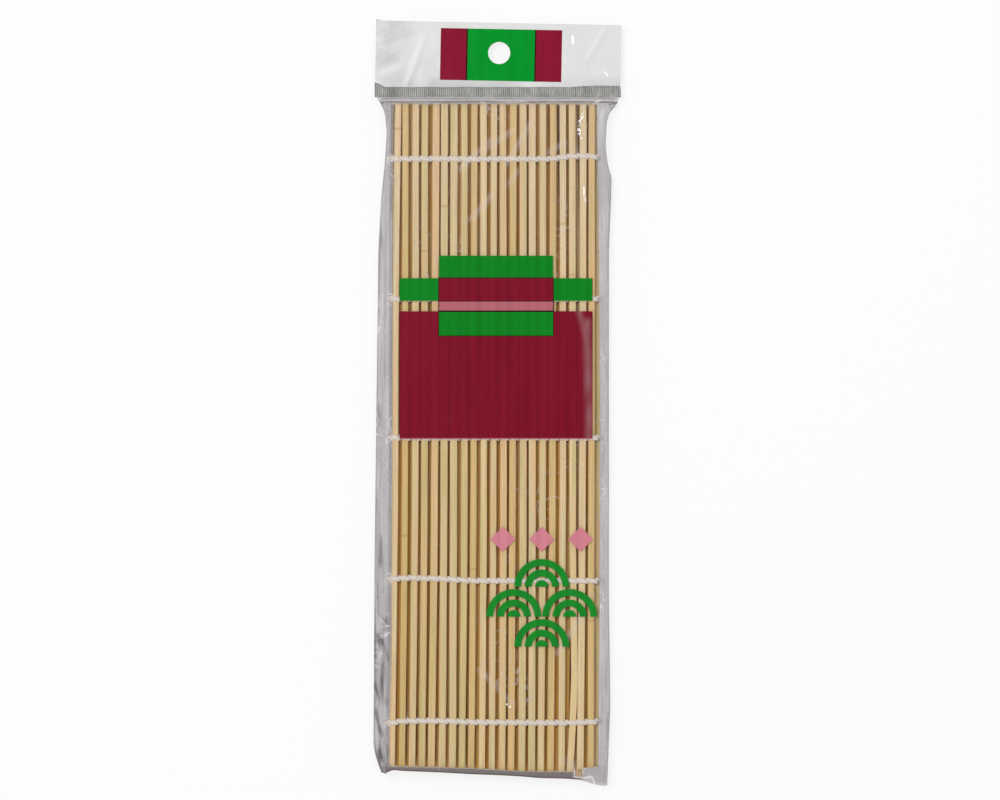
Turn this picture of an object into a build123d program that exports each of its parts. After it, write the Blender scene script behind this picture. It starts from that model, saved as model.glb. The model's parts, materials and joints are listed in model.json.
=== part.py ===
from build123d import *
import os

# A bamboo sushi rolling mat, folded in three and packed in a clear film bag with a header.
# Millimetres. The slats run along Y with the header at +Y, and the folded mat lies flat,
# so +Z is its thickness. The origin is on the table, under the middle of the stack.

# Slats
SLATS_PER_LAYER = 21
slat_length = 240.0
slat_width = 2.5
slat_thickness = 1.6
slat_corner = 0.4
slat_pitch = 3.55

# Twine: two flattened strands a row, one over and one under each slat, crossing in each gap
TWINE_ROWS = 5
row_spacing = 50.6
first_row_from_end = 20.5
strand_width = 1.0
strand_thickness = 0.4
strand_clearance = 0.05
crossing_gap = 0.1
strand_end_gap = 0.13
strand_end_height = 0.1
knot_width = 1.1
knot_length = 2.0
knot_height = 1.3
knot_corner = 0.3

# Stack of three layers, from the back of the pack to its front. The middle layer's slats lie
# behind the gaps of the other two, so that layer stands out by half a pitch at the right.
layer_gap = 0.2

# Film bag
film_thickness = 0.15
film_clearance = 0.2
bag_mouth_beyond_slats = 3.0
bag_neck_start = 0.9
bag_neck_length = 1.5
bag_left_margin = 6.5
bag_right_margin = 3.0
bag_left_lean = 3.6
bag_right_lean = 1.3
seam_gap = 0.05

# Header and the ribbed heat seal under it
header_width = 88.6
header_height = 23.2
header_thickness = 0.4
header_offset = 0.6
seal_height = 3.7
seal_thickness = 0.6
seal_rib_pitch = 2.4
seal_rib_depth = 0.1
hang_hole_radius = 4.0
hang_hole_from_top = 10.9
hang_hole_offset = 0.3

# Printed areas, plain blocks of ink on the film
ink_thickness = 0.08
panel_width = 69.4
panel_height = 45.7
panel_top_from_end = 74.9
notch_width = 41.0
notch_height = 9.0
bar_height = 3.6
shoulder_height = 8.2
crown_height = 8.1
print_gap = 0.2
header_print_side_width = 9.6
header_print_middle_width = 24.2
header_print_height = 18.7
header_print_from_seal = 2.2
header_print_offset = 1.0

# Generic ornament: half-disc scallops in rows of one, two and one, with a row of lozenges over them
SCALLOPS_IN_ROWS = (1, 2, 1)
LOZENGES = 3
scallop_radius = 10.0
scallop_row_step = 10.8
motif_centre_from_left = 54.1
motif_centre_from_end = 174.0
lozenge_side = 6.4
lozenge_spacing = 14.0
lozenge_rise = 17.0

# Places worked out from the sizes
half_pitch = slat_pitch / 2
layer_shift = slat_pitch / 4
strand_reach = slat_thickness / 2 + strand_clearance + strand_thickness
layer_spacing = 2 * strand_reach + layer_gap
back_level = film_thickness + film_clearance + strand_reach
middle_level = back_level + layer_spacing
front_level = middle_level + layer_spacing
bag_top = front_level + strand_reach + film_clearance + film_thickness
seal_level = bag_top / 2
edge_centre = (SLATS_PER_LAYER - 1) * half_pitch
stack_half_width = edge_centre + layer_shift + slat_width / 2
slat_end = slat_length / 2
crossing_offset = (strand_width + crossing_gap) / 2
outer_places = [column * slat_pitch - edge_centre - layer_shift for column in range(SLATS_PER_LAYER)]
middle_places = [x + 2 * layer_shift for x in outer_places]
row_places = [slat_end - first_row_from_end - row * row_spacing for row in range(TWINE_ROWS)]

os.makedirs("parts", exist_ok=True)


def finish(part, label):
    """Label a finished piece and write it to its own file."""
    part.label = label
    export_step(part, f"parts/{label}.step")


def across(x, y, z):
    """A plane square to the slats at a point, with its own Y pointing up."""
    return Plane(origin=(x, y, z), x_dir=(1, 0, 0), z_dir=(0, -1, 0))


def strand(stations, start_offset, end_offset):
    """A strand through (x, lowest z, highest z) stations, slanting from one offset to the other."""
    first, last = stations[0][0], stations[-1][0]
    with BuildPart() as piece:
        for x, low, high in stations:
            share = (x - first) / (last - first)
            y = start_offset + (end_offset - start_offset) * share
            middle = (x, y, (low + high) / 2)
            with BuildSketch(Plane(origin=middle, x_dir=(0, 1, 0), z_dir=(1, 0, 0))):
                Rectangle(strand_width, high - low)
        loft(ruled=True)
    return piece.part


# A strand that runs over one slat and dives into the gap on each side of it
shoulder = slat_width / 2 - slat_corner
strand_low = slat_thickness / 2 + strand_clearance
dive = half_pitch - strand_end_gap
wrapped_stations = [
    (-dive, strand_end_height, strand_end_height + strand_thickness),
    (-shoulder, strand_low, strand_low + strand_thickness),
    (shoulder, strand_low, strand_low + strand_thickness),
    (dive, strand_end_height, strand_end_height + strand_thickness),
]
over = strand(wrapped_stations, crossing_offset, -crossing_offset)
under = over.mirror(Plane.XY).mirror(Plane.XZ)

# Its plain form on the layers that the front one hides: the run over the slat's face
flat_stations = [
    (-slat_width / 2, strand_low, strand_low + strand_thickness),
    (slat_width / 2, strand_low, strand_low + strand_thickness),
]
face_over = strand(flat_stations, crossing_offset, -crossing_offset)
face_under = face_over.mirror(Plane.XY).mirror(Plane.XZ)

# The outer strand where it goes round the edge slat that stands out at a fold
with BuildPart() as fold_strand:
    with BuildSketch(Plane.XY.offset(-slat_thickness / 2)):
        Rectangle(strand_thickness, strand_width)
    extrude(amount=slat_thickness)
fold_strand_reach = slat_width / 2 + strand_clearance + strand_thickness / 2

# The knot that ties off the two strands at the end of a row
with BuildPart() as knot:
    with BuildSketch(Plane.XY.offset(-knot_height / 2)) as knot_outline:
        Rectangle(knot_width, knot_length)
        chamfer(knot_outline.vertices(), length=knot_corner)
    extrude(amount=knot_height)
knot_reach = slat_width / 2 + strand_clearance + knot_width / 2


def slat(x, level):
    """One bamboo slat with its long corners taken off."""
    with BuildPart() as piece:
        with BuildSketch(across(x, 0, level)) as section:
            Rectangle(slat_width, slat_thickness)
            chamfer(section.vertices(), length=slat_corner)
        extrude(amount=slat_end, both=True)
    return piece.part


# Front layer: every slat is a body of its own, because this layer rolls up slat by slat
for number, x in enumerate(outer_places, start=1):
    with BuildPart() as front_slat:
        add(slat(x, front_level))
    finish(front_slat.part, f"front_slat_{number:02d}")

    with BuildPart() as front_twine:
        with Locations(*[(x, y, front_level) for y in row_places]):
            add(over)
            add(under)
        if number == 1:
            with Locations(*[(x - knot_reach, y, front_level) for y in row_places]):
                add(knot.part)
    finish(front_twine.part, f"front_twine_{number:02d}")

# Middle layer: it stands out at the right, where its outer strands turn up to the front layer
with BuildPart() as middle_slats:
    for x in middle_places:
        add(slat(x, middle_level))
finish(middle_slats.part, "middle_slats")

right_fold = middle_places[-1] + fold_strand_reach
with BuildPart() as middle_twine:
    with Locations(*[(x, y, middle_level) for x in middle_places for y in row_places]):
        add(face_over)
        add(face_under)
    with Locations(*[(right_fold, y - crossing_offset, middle_level) for y in row_places]):
        add(fold_strand.part)
finish(middle_twine.part, "middle_twine")

# Back layer: it lies on the bag's back film, and stands out at the left fold
with BuildPart() as back_slats:
    for x in outer_places:
        add(slat(x, back_level))
finish(back_slats.part, "back_slats")

left_fold = outer_places[0] - fold_strand_reach
with BuildPart() as back_twine:
    with Locations(*[(x, y, back_level) for x in outer_places for y in row_places]):
        add(face_over)
        add(face_under)
    with Locations(*[(left_fold, y + crossing_offset, back_level) for y in row_places]):
        add(fold_strand.part)
    with Locations(*[(outer_places[-1] + knot_reach, y, back_level) for y in row_places]):
        add(knot.part)
finish(back_twine.part, "back_twine")

# Film bag: a flat tube round the stack, with a fold line down each side at half its height
bag_left = -stack_half_width - bag_left_margin
bag_right = stack_half_width + bag_right_margin
shelf_left = bag_left + bag_left_lean
shelf_right = bag_right - bag_right_lean
mouth = -slat_end - bag_mouth_beyond_slats
neck_foot = slat_end + bag_neck_start
neck_top = neck_foot + bag_neck_length
body_length = neck_foot - mouth
body_middle = (neck_foot + mouth) / 2
fold_low = seal_level - film_thickness / 2
fold_high = seal_level + film_thickness / 2

with BuildPart() as back_film:
    with BuildSketch(Plane.XY):
        with Locations(((shelf_left + shelf_right) / 2, body_middle)):
            Rectangle(shelf_right - shelf_left, body_length)
    extrude(amount=film_thickness)
finish(back_film.part, "back_film")


def side_film(outer, shelf, inward):
    """The bag's side, from the back film out to the fold line and in again to the front film."""
    with BuildPart() as piece:
        with BuildSketch(across(0, body_middle, 0)):
            with BuildLine():
                Polyline(
                    (shelf, film_thickness),
                    (outer, fold_low),
                    (outer, fold_high),
                    (shelf, bag_top - film_thickness),
                    (shelf + inward * film_thickness, bag_top - film_thickness),
                    (outer + inward * film_thickness, seal_level),
                    (shelf + inward * film_thickness, film_thickness),
                    close=True,
                )
            make_face()
        extrude(amount=body_length / 2, both=True)
    return piece.part


with BuildPart() as left_film:
    add(side_film(bag_left, shelf_left, 1))
finish(left_film.part, "left_film")

with BuildPart() as front_film:
    with BuildSketch(Plane.XY.offset(bag_top - film_thickness)):
        with Locations(((shelf_left + shelf_right) / 2, body_middle)):
            Rectangle(shelf_right - shelf_left, body_length)
    extrude(amount=film_thickness)
    add(side_film(bag_right, shelf_right, -1))
finish(front_film.part, "front_film")

# Neck: the front and the back film close on the seal just past the slats' ends
neck_drop = seal_level - seal_thickness / 2 - seam_gap
with BuildPart() as back_neck:
    with BuildSketch(Plane.YZ.offset(shelf_left)):
        with BuildLine():
            Polyline(
                (neck_foot, 0),
                (neck_top, neck_drop),
                (neck_top, neck_drop + film_thickness),
                (neck_foot, film_thickness),
                close=True,
            )
        make_face()
    extrude(amount=shelf_right - shelf_left)
with BuildPart() as neck_film:
    add(back_neck.part)
    add(back_neck.part.mirror(Plane.XY.offset(seal_level)))
finish(neck_film.part, "neck_film")

# Heat seal: both films welded in a band of ribs
seal_foot = neck_top + seam_gap
seal_top = seal_foot + seal_height
seal_ribs = int(header_width / seal_rib_pitch)
seal_place = (header_offset, (seal_foot + seal_top) / 2)
with BuildPart() as crimp_seal:
    with BuildSketch(Plane.XY.offset(seal_level - seal_thickness / 2 + seal_rib_depth)):
        with Locations(seal_place):
            Rectangle(header_width, seal_height)
    extrude(amount=seal_thickness - 2 * seal_rib_depth)
    with BuildSketch(Plane.XY.offset(seal_level + seal_thickness / 2 - seal_rib_depth)):
        with Locations(seal_place):
            with GridLocations(seal_rib_pitch, 0, seal_ribs, 1):
                Rectangle(seal_rib_pitch / 2, seal_height)
    extrude(amount=seal_rib_depth)
finish(crimp_seal.part, "crimp_seal")

# Header: white printed film with a round hole to hang it by
header_top = seal_top + header_height
header_high = seal_level + header_thickness / 2
hole_place = (header_offset + hang_hole_offset, header_top - hang_hole_from_top)
with BuildPart() as header:
    with BuildSketch(Plane.XY.offset(seal_level - header_thickness / 2)):
        with Locations((header_offset, (seal_top + header_top) / 2)):
            Rectangle(header_width, header_height)
        with Locations(hole_place):
            Circle(hang_hole_radius, mode=Mode.SUBTRACT)
    extrude(amount=header_thickness)
finish(header.part, "header")

header_print_x = header_offset + header_print_offset
header_print_y = seal_top + header_print_from_seal + header_print_height / 2
with BuildPart() as header_print_green:
    with BuildSketch(Plane.XY.offset(header_high)):
        with Locations((header_print_x, header_print_y)):
            Rectangle(header_print_middle_width, header_print_height)
        with Locations(hole_place):
            Circle(hang_hole_radius + print_gap, mode=Mode.SUBTRACT)
    extrude(amount=ink_thickness)
finish(header_print_green.part, "header_print_green")

side_print_spacing = header_print_middle_width + header_print_side_width + 2 * print_gap
with BuildPart() as header_print_maroon:
    with BuildSketch(Plane.XY.offset(header_high)):
        with Locations((header_print_x, header_print_y)):
            with GridLocations(side_print_spacing, 0, 2, 1):
                Rectangle(header_print_side_width, header_print_height)
    extrude(amount=ink_thickness)
finish(header_print_maroon.part, "header_print_maroon")

# Front print: a large maroon panel with a green block let into its top, a pink bar on it,
# a maroon block between two green shoulders over that, and a green block on top of all
panel_top = slat_end - panel_top_from_end
bar_top = panel_top + bar_height
shoulder_top = bar_top + shoulder_height
crown_top = shoulder_top + crown_height
shoulder_width = (panel_width - notch_width) / 2 - print_gap
shoulder_x = notch_width / 2 + print_gap + shoulder_width / 2


def printed(blocks, cuts=()):
    """Blocks of ink on the front film, as (x, top y, width, height), less other such blocks."""
    with BuildPart() as piece:
        with BuildSketch(Plane.XY.offset(bag_top)):
            for x, top, width, height in blocks:
                with Locations((x, top - height / 2)):
                    Rectangle(width, height)
            for x, top, width, height in cuts:
                with Locations((x, top - height / 2)):
                    Rectangle(width, height, mode=Mode.SUBTRACT)
        extrude(amount=ink_thickness)
    return piece.part


notch_cut = (0, panel_top, notch_width + 2 * print_gap, notch_height + print_gap)
with BuildPart() as front_print_maroon:
    add(printed([(0, panel_top, panel_width, panel_height)], [notch_cut]))
    add(printed([(0, shoulder_top, notch_width, shoulder_height)]))
finish(front_print_maroon.part, "front_print_maroon")

with BuildPart() as front_print_green:
    add(
        printed(
            [
                (0, panel_top - print_gap, notch_width, notch_height - print_gap),
                (-shoulder_x, shoulder_top, shoulder_width, shoulder_height),
                (shoulder_x, shoulder_top, shoulder_width, shoulder_height),
                (0, crown_top, notch_width, crown_height - print_gap),
            ]
        )
    )
finish(front_print_green.part, "front_print_green")

with BuildPart() as front_print_pink:
    add(printed([(0, bar_top - print_gap, notch_width, bar_height - 2 * print_gap)]))
finish(front_print_pink.part, "front_print_pink")

motif_x = motif_centre_from_left - stack_half_width
motif_y = slat_end - motif_centre_from_end
scallop_step = 2 * scallop_radius + print_gap
with BuildPart() as front_motif:
    with BuildSketch(Plane.XY.offset(bag_top)):
        for row, scallops in enumerate(SCALLOPS_IN_ROWS):
            for place in range(scallops):
                x = motif_x + (place - (scallops - 1) / 2) * scallop_step
                y = motif_y - row * scallop_row_step
                with BuildLine():
                    CenterArc((x, y), scallop_radius, 0, 180)
                    Line((x - scallop_radius, y), (x + scallop_radius, y))
                make_face()
        with Locations((motif_x, motif_y + lozenge_rise)):
            with GridLocations(lozenge_spacing, 0, LOZENGES, 1):
                Rectangle(lozenge_side, lozenge_side, rotation=45)
    extrude(amount=ink_thickness)
finish(front_motif.part, "front_motif")
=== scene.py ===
import json
import math
import random
from functools import partial

import bmesh
import bpy
import numpy as np
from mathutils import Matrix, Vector, noise

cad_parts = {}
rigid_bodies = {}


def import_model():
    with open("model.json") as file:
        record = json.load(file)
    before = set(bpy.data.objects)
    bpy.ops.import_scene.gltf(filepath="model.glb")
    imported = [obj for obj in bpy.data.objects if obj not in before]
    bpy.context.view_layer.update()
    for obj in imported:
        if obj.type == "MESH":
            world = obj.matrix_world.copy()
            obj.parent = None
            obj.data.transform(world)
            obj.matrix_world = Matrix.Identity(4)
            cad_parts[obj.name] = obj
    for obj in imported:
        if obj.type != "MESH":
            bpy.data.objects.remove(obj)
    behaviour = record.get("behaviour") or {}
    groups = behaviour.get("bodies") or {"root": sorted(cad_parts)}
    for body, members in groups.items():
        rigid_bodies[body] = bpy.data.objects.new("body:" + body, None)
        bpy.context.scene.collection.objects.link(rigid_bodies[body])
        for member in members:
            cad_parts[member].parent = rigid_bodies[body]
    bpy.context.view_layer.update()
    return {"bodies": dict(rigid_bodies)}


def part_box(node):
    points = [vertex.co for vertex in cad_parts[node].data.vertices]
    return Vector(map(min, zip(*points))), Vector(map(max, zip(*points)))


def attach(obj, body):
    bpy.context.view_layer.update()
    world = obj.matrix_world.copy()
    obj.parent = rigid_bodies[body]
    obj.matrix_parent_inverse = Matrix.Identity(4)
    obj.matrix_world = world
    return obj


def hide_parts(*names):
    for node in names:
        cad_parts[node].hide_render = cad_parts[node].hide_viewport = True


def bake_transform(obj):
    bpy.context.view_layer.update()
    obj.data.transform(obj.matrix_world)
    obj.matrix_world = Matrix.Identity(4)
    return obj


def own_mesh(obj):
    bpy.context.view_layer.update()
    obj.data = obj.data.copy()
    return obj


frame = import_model()

# Studio: the pack lies on a white table under a wide even sky, with a soft lamp over its upper
# left and one small bright lamp whose reflection makes the glints on the film. The camera looks
# straight down on it from a metre away.
MM = 0.001
frame_width = 360 * MM
camera_height = 1000 * MM
view_centre = (1.44 * MM, 13.1 * MM)
slat_face = 7.8 * MM
sky_level = 0.6
table_white = (0.86, 0.86, 0.86, 1)
table_glow = 0.78
table_gap = 0.1 * MM

camera_data = bpy.data.cameras.new("camera")
camera_data.sensor_width = 36
camera_data.lens = camera_data.sensor_width * camera_height / frame_width
camera_data.clip_start = 50 * MM
camera = bpy.data.objects.new("camera", camera_data)
camera.location = (*view_centre, slat_face + camera_height)
bpy.context.collection.objects.link(camera)
bpy.context.scene.camera = camera
bpy.context.scene.view_settings.view_transform = "Standard"


def feed(tree, value, node, socket):
    """Give a node's input another node's output, or a plain value."""
    if isinstance(value, bpy.types.NodeSocket):
        tree.links.new(value, node.inputs[socket])
    else:
        node.inputs[socket].default_value = value


def add(tree, kind, **inputs):
    """A shader node, with some of its inputs given by name."""
    node = tree.nodes.new(f"ShaderNode{kind}")
    for socket, value in inputs.items():
        feed(tree, value, node, socket.replace("_", " "))
    return node


def reckon(tree, operation, *values):
    """The result of a sum on shader values."""
    node = add(tree, "Math")
    node.operation = operation
    for slot, value in enumerate(values):
        feed(tree, value, node, slot)
    return node.outputs["Value"]


def ramp(tree, value, low, high, to_low=0, to_high=1):
    """Map one value's range to another, clamped at both ends."""
    ends = {"From_Min": low, "From_Max": high, "To_Min": to_low, "To_Max": to_high}
    return add(tree, "MapRange", Value=value, **ends).outputs["Result"]


def seen_directly(tree):
    """1 for rays that show the backdrop straight, mirrored or through film, and 0 for others."""
    rays = add(tree, "LightPath").outputs
    mirrored = reckon(tree, "MAXIMUM", rays["Is Camera Ray"], rays["Is Glossy Ray"])
    return reckon(tree, "MAXIMUM", mirrored, rays["Is Transmission Ray"])


world = bpy.data.worlds.new("sky")
bpy.context.scene.world = world
world.use_nodes = True
sky = world.node_tree
background = sky.nodes["Background"]
background.inputs["Color"].default_value = (1, 1, 1, 1)
feed(sky, ramp(sky, seen_directly(sky), 0, 1, sky_level, 1), background, "Strength")


def lamp(name, place, size, power):
    """A square lamp at a place, turned to the middle of the pack."""
    data = bpy.data.lights.new(name, "AREA")
    data.size = size
    data.energy = power
    item = bpy.data.objects.new(name, data)
    item.location = place
    item.rotation_euler = (-Vector(place)).to_track_quat("-Z", "Y").to_euler()
    bpy.context.collection.objects.link(item)


lamp("soft_lamp", place=(-0.42, 0.3, 1.4), size=0.5, power=10)
lamp("glint_lamp", place=(0.34, 0.42, 1.1), size=0.06, power=1.2)


def new_finish(name, **inputs):
    """A new material, its node tree and its shader, with some of the shader's inputs given."""
    material = bpy.data.materials.new(name)
    material.use_nodes = True
    tree = material.node_tree
    shader = tree.nodes["Principled BSDF"]
    for socket, value in inputs.items():
        feed(tree, value, shader, socket.replace("_", " "))
    return material, tree, shader


def laid_over(tree, share, below, above):
    """One shader laid over another, by a share."""
    node = add(tree, "MixShader", Fac=share)
    feed(tree, below, node, 1)
    feed(tree, above, node, 2)
    return node.outputs["Shader"]


bpy.ops.object.select_all(action="DESELECT")
bpy.ops.mesh.primitive_plane_add(size=4, location=(0, 0, -table_gap))
table = bpy.context.object
table.name = "table"
table_paint, tree, shader = new_finish("table_white", Base_Color=table_white, Roughness=0.9)
glowing = reckon(tree, "MULTIPLY", seen_directly(tree), table_glow)
glow = add(tree, "Emission").outputs["Emission"]
surface = laid_over(tree, glowing, shader.outputs["BSDF"], glow)
feed(tree, surface, tree.nodes["Material Output"], "Surface")
table.data.materials.append(table_paint)

# Bamboo slats: split bamboo strips, planed to a flat oblong with worn corners, cut to length
# and left dry. One strip is modelled, then each slat is a copy with its own width, bow, lean,
# ends and tone. The front layer's slats are pieces of their own, and each hidden layer is one.
slat_low, slat_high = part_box("front_slat_01")
slat_size = Vector(slat_high) - Vector(slat_low)
slat_half = slat_size.y / 2
front_bodies = sorted(name for name in frame["bodies"] if name.startswith("front_"))
slat_corner = 0.24 * MM
slat_end_edge = 0.12 * MM
slat_cuts = 47
slat_crown = 0.025 * MM
fan_reach = 25 * MM
draw = random.Random(21)


def paint(red, green, blue):
    """A colour as it looks on screen, 0 to 255, as the linear colour that a shader takes."""
    shares = (red / 255, green / 255, blue / 255)
    linear = [s / 12.92 if s <= 0.04045 else ((s + 0.055) / 1.055) ** 2.4 for s in shares]
    return (*linear, 1)


slat_tones = [
    paint(210, 188, 143),
    paint(206, 177, 124),
    paint(203, 175, 121),
    paint(212, 182, 136),
    paint(214, 193, 152),
    paint(198, 170, 114),
    paint(202, 181, 130),
]
bamboo_pink = paint(219, 172, 124)
bamboo_green = paint(190, 176, 112)
bamboo_fleck = paint(136, 92, 44)
bamboo_ring = paint(162, 124, 72)
planed_shade = (1, 1, 1)
under_shade = (0.93, 0.79, 0.57)
# The skin side's darker, warmer tone is partly the bamboo's own and partly painted shade for the gaps
# where it shows between the front slats.
skin_side_painted_shade = (0.99, 0.69, 0.25)
# The sides' darker tone is painted shade, which darkens the slats' edges and the gaps between them.
side_painted_shade = (0.58, 0.3, 0.07)
head_bleach = (1.05, 1.06, 1.16)
slat_feet = [(-37, 0.95), (-9, 0.25), (9, -0.8), (27, -1.0), (31, 0.0), (35, 0.6)]


def pick(piece, test):
    """Select the edges of a piece in edit mode that a test chooses."""
    bpy.ops.mesh.select_all(action="DESELECT")
    mesh = bmesh.from_edit_mesh(piece.data)
    for edge in mesh.edges:
        if test(edge):
            edge.select_set(True)
    mesh.select_flush_mode()
    bmesh.update_edit_mesh(piece.data)


def along_slat(edge):
    """True for an edge that runs along the slat."""
    a, b = (vert.co for vert in edge.verts)
    return abs(a.y - b.y) > slat_half and abs(a.x - b.x) < MM and abs(a.z - b.z) < MM


def across_face(edge):
    """True for an edge that runs straight across the slat's broad face."""
    a, b = (vert.co for vert in edge.verts)
    level = abs(a.y - b.y) < MM and abs(a.z - b.z) < slat_corner / 4
    return level and abs(a.x - b.x) > slat_size.x / 2


def at_end(edge):
    """True for an edge of the slat's two end faces."""
    return all(abs(abs(vert.co.y) - slat_half) < 0.001 * MM for vert in edge.verts)


bpy.ops.object.select_all(action="DESELECT")
bpy.ops.mesh.primitive_cube_add(size=1)
slat_pattern = bpy.context.object
slat_pattern.dimensions = slat_size
bpy.ops.object.transform_apply(scale=True)
bpy.ops.object.mode_set(mode="EDIT")
bpy.ops.mesh.select_mode(type="EDGE")
pick(slat_pattern, along_slat)
bpy.ops.mesh.bevel(offset=slat_corner, segments=2, affect="EDGES")
pick(slat_pattern, across_face)
bpy.ops.mesh.subdivide(number_cuts=3)
pick(slat_pattern, at_end)
bpy.ops.mesh.bevel(offset=slat_end_edge, segments=1, affect="EDGES")
pick(slat_pattern, along_slat)
bpy.ops.mesh.subdivide(number_cuts=slat_cuts)
bpy.ops.object.mode_set(mode="OBJECT")
bpy.ops.object.shade_smooth_by_angle(angle=math.radians(50))


def copy_of(pattern, name):
    """A copy of a modelled piece with its own mesh."""
    piece = pattern.copy()
    piece.data = pattern.data.copy()
    piece.name = name
    bpy.context.collection.objects.link(piece)
    return piece


def fan(x, y, layer="front"):
    """How far the slats stray from parallel at a place: to the left at their feet, and in hidden
    layers at their heads too. Those stray at the right only, so both sides of a fold stay clear."""
    left = min(1, max(0, (fan_reach - x) / (60 * MM)))
    along = y / slat_half
    low, high = max(0, -along) ** 1.5, max(0, along) ** 1.5
    held = 1 if layer == "front" else min(1, max(0, x / fan_reach))
    at_head = 0.35 * left if layer == "front" else -1.1
    return held * (at_head * high - (0.5 + 0.6 * left) * low) * MM


def foot_line(x):
    """Where the slats' lower ends lie, at a place across the mat."""
    return float(np.interp(x / MM, *zip(*slat_feet))) * MM - slat_half


def shape_slat(piece, x, level, layer, upper, lower, kinks=(), longer=0):
    """Give a slat its own width, bow, lean, twist and ends, the place of its node, and its tones,
    with a shade for its upper and its lower broad face and painted shade along its sides."""
    width_share = draw.uniform(0.95, 1.1)
    bow = draw.uniform(-0.2, 0.2) * MM
    lean = draw.uniform(-0.26, 0.26) * MM
    aside = draw.uniform(-0.12, 0.12) * MM
    twist = math.radians(draw.uniform(-4, 4))
    head = slat_half + draw.uniform(-0.2, 0.2) * MM
    foot = foot_line(x) + draw.uniform(-0.15, 0.15) * MM - longer
    offset = draw.uniform(0, 1000)
    shades = []
    for vert in piece.data.vertices:
        # The sides and worn corners take the side shade: painted shade along the slat's edges.
        flat = min(1, max(0, (abs(vert.co.z) / slat_size.z * 2 - 0.7) / 0.3))
        broad = upper if vert.co.z > 0 else lower
        along = vert.co.y / slat_half
        shade = [side + (wide_side - side) * flat for side, wide_side in zip(side_painted_shade, broad)]
        bleached = [1 + (bleach - 1) * max(0, along) for bleach in head_bleach]
        shades.append([part * paler for part, paler in zip(shade, bleached)])
        wide = width_share * (1 + 0.035 * noise.noise(Vector((offset, along * 4, 0))))
        wide += 0.03 * noise.noise(Vector((offset, along * 15, vert.co.x / MM)))
        crown = slat_crown * (1 - (vert.co.x / slat_size.x * 2) ** 2)
        sway = aside + bow * math.cos(along * math.pi / 2) + lean * along
        sway += 0.09 * MM * noise.noise(Vector((offset, along * 3, 5)))
        sway += fan(x, vert.co.y, layer)
        for place, spread, reach in kinks:
            sway += reach * MM * max(0, 1 - abs(along - place) / spread) ** 2
        nx = vert.co.x * wide
        nz = vert.co.z + (crown if vert.co.z > 0 else -crown)
        turn = twist * (0.4 + 0.6 * along)
        vert.co.x = x + sway + nx * math.cos(turn) + nz * math.sin(turn)
        vert.co.z = level - nx * math.sin(turn) + nz * math.cos(turn)
        vert.co.y = foot + (head - foot) * (along + 1) / 2
    tone = draw.choice(slat_tones)
    level_share = draw.uniform(0.93, 1.06)
    colour = piece.data.attributes.new("tone", "FLOAT_COLOR", "POINT")
    shown = [(*(level_share * c * s for c, s in zip(tone, shade)), 1) for shade in shades]
    colour.data.foreach_set("color", np.ravel(shown))
    ring = piece.data.attributes.new("ring", "FLOAT", "POINT")
    ring_y = draw.uniform(-1.6, 1.6) * slat_half
    ring.data.foreach_set("value", [ring_y] * len(piece.data.vertices))


def mix_colour(tree, blend, share, first, second):
    """Two colours mixed by a share. Each of the three is an output or a plain value."""
    node = add(tree, "Mix")
    node.data_type = "RGBA"
    node.blend_type = blend
    for socket, value in (("Factor", share), ("A", first), ("B", second)):
        feed(tree, value, node, socket)
    return node.outputs["Result"]


def point_value(tree, name, output="Fac"):
    """What the points of a piece carry under a name."""
    node = add(tree, "Attribute")
    node.attribute_name = name
    return node.outputs[output]


def mottle(tree, scale, detail, distortion=0, place=None):
    """Noise on Object coordinates, or on a place that is given."""
    place = place or add(tree, "TexCoord").outputs["Object"]
    settings = {"Scale": scale, "Detail": detail, "Distortion": distortion}
    return add(tree, "TexNoise", Vector=place, **settings).outputs["Fac"]


def streaks(tree, across, along, detail):
    """Noise drawn out along the slats, with its two sizes in millimetres."""
    place = add(tree, "TexCoord").outputs["Object"]
    stretch = (1 / (across * MM), 1 / (along * MM), 1 / (across * MM))
    stretched = add(tree, "Mapping", Vector=place, Scale=stretch).outputs["Vector"]
    return mottle(tree, 1, detail, 0, stretched)


def raised(tree, height, distance, strength, normal=None):
    """A surface raised by a height of 0 to 1, which stands for a distance in metres."""
    node = add(tree, "Bump", Height=height, Distance=distance, Strength=strength)
    if normal:
        feed(tree, normal, node, "Normal")
    return node.outputs["Normal"]


bamboo, tree, shader = new_finish("bamboo", Roughness=0.6, Specular_IOR_Level=0.04)
drift = streaks(tree, 1.4, 45, 2)
fibre = streaks(tree, 0.22, 22, 4)
speckle = streaks(tree, 0.3, 2.6, 2)
slat_place = add(tree, "SeparateXYZ", Vector=add(tree, "TexCoord").outputs["Object"])
off_ring = reckon(tree, "SUBTRACT", slat_place.outputs["Y"], point_value(tree, "ring"))
ring = ramp(tree, reckon(tree, "ABSOLUTE", off_ring), 0.25 * MM, 0.7 * MM, 0.35, 0)
tone = point_value(tree, "tone", "Color")
pinker = mix_colour(tree, "MIX", ramp(tree, drift, 0.5, 0.72, 0, 0.6), tone, bamboo_pink)
greener = mix_colour(tree, "MIX", ramp(tree, drift, 0.48, 0.28, 0, 0.6), pinker, bamboo_green)
grain = mix_colour(tree, "MULTIPLY", 1, greener, ramp(tree, fibre, 0.3, 0.7, 0.83, 1.13))
flecked = mix_colour(tree, "MIX", ramp(tree, speckle, 0.69, 0.78, 0, 0.55), grain, bamboo_fleck)
feed(tree, mix_colour(tree, "MIX", ring, flecked, bamboo_ring), shader, "Base Color")
feed(tree, raised(tree, fibre, 0.03 * MM, 0.5), shader, "Normal")
slat_pattern.data.materials.append(bamboo)

slat_kinks = {
    1: [(1.0, 0.9, 0.75)],
    19: [(-0.7, 0.5, 0.9), (-1.0, 0.3, -0.9)],
}


def settle(piece, body, node, slot):
    """Put a finished piece on its body, in place of its node if it has one. Its slot is not used."""
    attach(piece, body)
    if node:
        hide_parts(node)


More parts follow.
